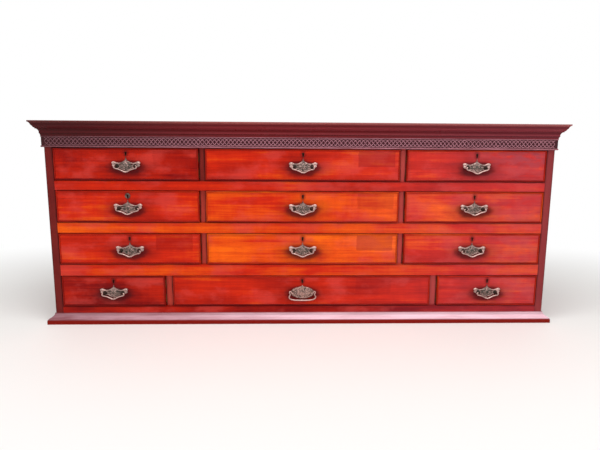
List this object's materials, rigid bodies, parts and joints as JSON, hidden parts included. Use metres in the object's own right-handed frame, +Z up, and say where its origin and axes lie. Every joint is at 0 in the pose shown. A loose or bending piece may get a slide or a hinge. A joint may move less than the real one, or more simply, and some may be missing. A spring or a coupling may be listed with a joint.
{
  "type": "type case cabinet",
  "caption": "Wide low chest of small lockable drawers in rows between a moulded plinth and a moulded cornice, each drawer with a brass drop handle.",
  "frame": {"origin": "middle of the overall box, on the table under the plinth", "axes": "+X to the right along the length, +Y to the back, +Z up; the drawers open towards -Y"},
  "size_m": [1.142, 0.401, 0.442],
  "materials": {
    "drawer_wood": "french-polished mahogany, horizontal grain, satin and worn",
    "carcase_wood": "stained mahogany, dull polish",
    "secondary_wood": "unpolished pine and oak",
    "aged_brass": "tarnished cast brass, bright on the high spots"
  },
  "bodies": {
    "carcase": {"rails": "carcase_wood", "dividers": "carcase_wood", "runners": "secondary_wood", "drawer_guides": "secondary_wood", "bottom_board": "secondary_wood", "top_board": "carcase_wood", "back_boards": "secondary_wood", "left_end": "carcase_wood", "right_end": "carcase_wood", "plinth": "carcase_wood", "frieze": "carcase_wood", "cornice": "carcase_wood"},
    "drawer_row1_left": {"drawer_row1_left": "drawer_wood", "fittings_row1_left": "aged_brass"},
    "bail_row1_left": {"bail_row1_left": "aged_brass"},
    "lock_bolt_row1_left": {"lock_bolt_row1_left": "aged_brass"},
    "drawer_row1_centre": {"drawer_row1_centre": "drawer_wood", "fittings_row1_centre": "aged_brass"},
    "bail_row1_centre": {"bail_row1_centre": "aged_brass"},
    "lock_bolt_row1_centre": {"lock_bolt_row1_centre": "aged_brass"},
    "drawer_row1_right": {"drawer_row1_right": "drawer_wood", "fittings_row1_right": "aged_brass"},
    "bail_row1_right": {"bail_row1_right": "aged_brass"},
    "lock_bolt_row1_right": {"lock_bolt_row1_right": "aged_brass"},
    "drawer_row2_left": {"drawer_row2_left": "drawer_wood", "fittings_row2_left": "aged_brass"},
    "bail_row2_left": {"bail_row2_left": "aged_brass"},
    "lock_bolt_row2_left": {"lock_bolt_row2_left": "aged_brass"},
    "drawer_row2_centre": {"drawer_row2_centre": "drawer_wood", "fittings_row2_centre": "aged_brass"},
    "bail_row2_centre": {"bail_row2_centre": "aged_brass"},
    "lock_bolt_row2_centre": {"lock_bolt_row2_centre": "aged_brass"},
    "drawer_row2_right": {"drawer_row2_right": "drawer_wood", "fittings_row2_right": "aged_brass"},
    "bail_row2_right": {"bail_row2_right": "aged_brass"},
    "lock_bolt_row2_right": {"lock_bolt_row2_right": "aged_brass"},
    "drawer_row3_left": {"drawer_row3_left": "drawer_wood", "fittings_row3_left": "aged_brass"},
    "bail_row3_left": {"bail_row3_left": "aged_brass"},
    "lock_bolt_row3_left": {"lock_bolt_row3_left": "aged_brass"},
    "drawer_row3_centre": {"drawer_row3_centre": "drawer_wood", "fittings_row3_centre": "aged_brass"},
    "bail_row3_centre": {"bail_row3_centre": "aged_brass"},
    "lock_bolt_row3_centre": {"lock_bolt_row3_centre": "aged_brass"},
    "drawer_row3_right": {"drawer_row3_right": "drawer_wood", "fittings_row3_right": "aged_brass"},
    "bail_row3_right": {"bail_row3_right": "aged_brass"},
    "lock_bolt_row3_right": {"lock_bolt_row3_right": "aged_brass"},
    "drawer_row4_left": {"drawer_row4_left": "drawer_wood", "fittings_row4_left": "aged_brass"},
    "bail_row4_left": {"bail_row4_left": "aged_brass"},
    "lock_bolt_row4_left": {"lock_bolt_row4_left": "aged_brass"},
    "drawer_row4_centre": {"drawer_row4_centre": "drawer_wood", "fittings_row4_centre": "aged_brass"},
    "bail_row4_centre": {"bail_row4_centre": "aged_brass"},
    "lock_bolt_row4_centre": {"lock_bolt_row4_centre": "aged_brass"},
    "drawer_row4_right": {"drawer_row4_right": "drawer_wood", "fittings_row4_right": "aged_brass"},
    "bail_row4_right": {"bail_row4_right": "aged_brass"},
    "lock_bolt_row4_right": {"lock_bolt_row4_right": "aged_brass"}
  },
  "joints": [
    {"name": "drawer_row1_left_slide", "type": "slide", "parent": "carcase", "child": "drawer_row1_left", "axis": [0, -1, 0], "range_m": [0, 0.28]},
    {"name": "bail_row1_left_hinge", "type": "hinge", "parent": "drawer_row1_left", "child": "bail_row1_left", "pos_m": [-0.37938, -0.1866, 0.349], "axis": [-1, 0, 0], "range_deg": [-12, 150]},
    {"name": "lock_bolt_row1_left_slide", "type": "slide", "parent": "drawer_row1_left", "child": "lock_bolt_row1_left", "axis": [0, 0, 1], "range_m": [0, 0.0065]},
    {"name": "drawer_row1_centre_slide", "type": "slide", "parent": "carcase", "child": "drawer_row1_centre", "axis": [0, -1, 0], "range_m": [0, 0.28]},
    {"name": "bail_row1_centre_hinge", "type": "hinge", "parent": "drawer_row1_centre", "child": "bail_row1_centre", "pos_m": [0, -0.1866, 0.349], "axis": [-1, 0, 0], "range_deg": [-12, 150]},
    {"name": "lock_bolt_row1_centre_slide", "type": "slide", "parent": "drawer_row1_centre", "child": "lock_bolt_row1_centre", "axis": [0, 0, 1], "range_m": [0, 0.0065]},
    {"name": "drawer_row1_right_slide", "type": "slide", "parent": "carcase", "child": "drawer_row1_right", "axis": [0, -1, 0], "range_m": [0, 0.28]},
    {"name": "bail_row1_right_hinge", "type": "hinge", "parent": "drawer_row1_right", "child": "bail_row1_right", "pos_m": [0.37938, -0.1866, 0.349], "axis": [-1, 0, 0], "range_deg": [-12, 150]},
    {"name": "lock_bolt_row1_right_slide", "type": "slide", "parent": "drawer_row1_right", "child": "lock_bolt_row1_right", "axis": [0, 0, 1], "range_m": [0, 0.0065]},
    {"name": "drawer_row2_left_slide", "type": "slide", "parent": "carcase", "child": "drawer_row2_left", "axis": [0, -1, 0], "range_m": [0, 0.28]},
    {"name": "bail_row2_left_hinge", "type": "hinge", "parent": "drawer_row2_left", "child": "bail_row2_left", "pos_m": [-0.37938, -0.1866, 0.258], "axis": [-1, 0, 0], "range_deg": [-12, 150]},
    {"name": "lock_bolt_row2_left_slide", "type": "slide", "parent": "drawer_row2_left", "child": "lock_bolt_row2_left", "axis": [0, 0, 1], "range_m": [0, 0.0065]},
    {"name": "drawer_row2_centre_slide", "type": "slide", "parent": "carcase", "child": "drawer_row2_centre", "axis": [0, -1, 0], "range_m": [0, 0.28]},
    {"name": "bail_row2_centre_hinge", "type": "hinge", "parent": "drawer_row2_centre", "child": "bail_row2_centre", "pos_m": [0, -0.1866, 0.258], "axis": [-1, 0, 0], "range_deg": [-12, 150]},
    {"name": "lock_bolt_row2_centre_slide", "type": "slide", "parent": "drawer_row2_centre", "child": "lock_bolt_row2_centre", "axis": [0, 0, 1], "range_m": [0, 0.0065]},
    {"name": "drawer_row2_right_slide", "type": "slide", "parent": "carcase", "child": "drawer_row2_right", "axis": [0, -1, 0], "range_m": [0, 0.28]},
    {"name": "bail_row2_right_hinge", "type": "hinge", "parent": "drawer_row2_right", "child": "bail_row2_right", "pos_m": [0.37938, -0.1866, 0.258], "axis": [-1, 0, 0], "range_deg": [-12, 150]},
    {"name": "lock_bolt_row2_right_slide", "type": "slide", "parent": "drawer_row2_right", "child": "lock_bolt_row2_right", "axis": [0, 0, 1], "range_m": [0, 0.0065]},
    {"name": "drawer_row3_left_slide", "type": "slide", "parent": "carcase", "child": "drawer_row3_left", "axis": [0, -1, 0], "range_m": [0, 0.28]},
    {"name": "bail_row3_left_hinge", "type": "hinge", "parent": "drawer_row3_left", "child": "bail_row3_left", "pos_m": [-0.37938, -0.1866, 0.1645], "axis": [-1, 0, 0], "range_deg": [-12, 150]},
    {"name": "lock_bolt_row3_left_slide", "type": "slide", "parent": "drawer_row3_left", "child": "lock_bolt_row3_left", "axis": [0, 0, 1], "range_m": [0, 0.0065]},
    {"name": "drawer_row3_centre_slide", "type": "slide", "parent": "carcase", "child": "drawer_row3_centre", "axis": [0, -1, 0], "range_m": [0, 0.28]},
    {"name": "bail_row3_centre_hinge", "type": "hinge", "parent": "drawer_row3_centre", "child": "bail_row3_centre", "pos_m": [0, -0.1866, 0.1645], "axis": [-1, 0, 0], "range_deg": [-12, 150]},
    {"name": "lock_bolt_row3_centre_slide", "type": "slide", "parent": "drawer_row3_centre", "child": "lock_bolt_row3_centre", "axis": [0, 0, 1], "range_m": [0, 0.0065]},
    {"name": "drawer_row3_right_slide", "type": "slide", "parent": "carcase", "child": "drawer_row3_right", "axis": [0, -1, 0], "range_m": [0, 0.28]},
    {"name": "bail_row3_right_hinge", "type": "hinge", "parent": "drawer_row3_right", "child": "bail_row3_right", "pos_m": [0.37938, -0.1866, 0.1645], "axis": [-1, 0, 0], "range_deg": [-12, 150]},
    {"name": "lock_bolt_row3_right_slide", "type": "slide", "parent": "drawer_row3_right", "child": "lock_bolt_row3_right", "axis": [0, 0, 1], "range_m": [0, 0.0065]},
    {"name": "drawer_row4_left_slide", "type": "slide", "parent": "carcase", "child": "drawer_row4_left", "axis": [0, -1, 0], "range_m": [0, 0.28]},
    {"name": "bail_row4_left_hinge", "type": "hinge", "parent": "drawer_row4_left", "child": "bail_row4_left", "pos_m": [-0.41963, -0.1866, 0.0685], "axis": [-1, 0, 0], "range_deg": [-12, 150]},
    {"name": "lock_bolt_row4_left_slide", "type": "slide", "parent": "drawer_row4_left", "child": "lock_bolt_row4_left", "axis": [0, 0, 1], "range_m": [0, 0.0065]},
    {"name": "drawer_row4_centre_slide", "type": "slide", "parent": "carcase", "child": "drawer_row4_centre", "axis": [0, -1, 0], "range_m": [0, 0.28]},
    {"name": "bail_row4_centre_hinge", "type": "hinge", "parent": "drawer_row4_centre", "child": "bail_row4_centre", "pos_m": [0, -0.1866, 0.0685], "axis": [-1, 0, 0], "range_deg": [-12, 150]},
    {"name": "lock_bolt_row4_centre_slide", "type": "slide", "parent": "drawer_row4_centre", "child": "lock_bolt_row4_centre", "axis": [0, 0, 1], "range_m": [0, 0.0065]},
    {"name": "drawer_row4_right_slide", "type": "slide", "parent": "carcase", "child": "drawer_row4_right", "axis": [0, -1, 0], "range_m": [0, 0.28]},
    {"name": "bail_row4_right_hinge", "type": "hinge", "parent": "drawer_row4_right", "child": "bail_row4_right", "pos_m": [0.41963, -0.1866, 0.0685], "axis": [-1, 0, 0], "range_deg": [-12, 150]},
    {"name": "lock_bolt_row4_right_slide", "type": "slide", "parent": "drawer_row4_right", "child": "lock_bolt_row4_right", "axis": [0, 0, 1], "range_m": [0, 0.0065]}
  ]
}
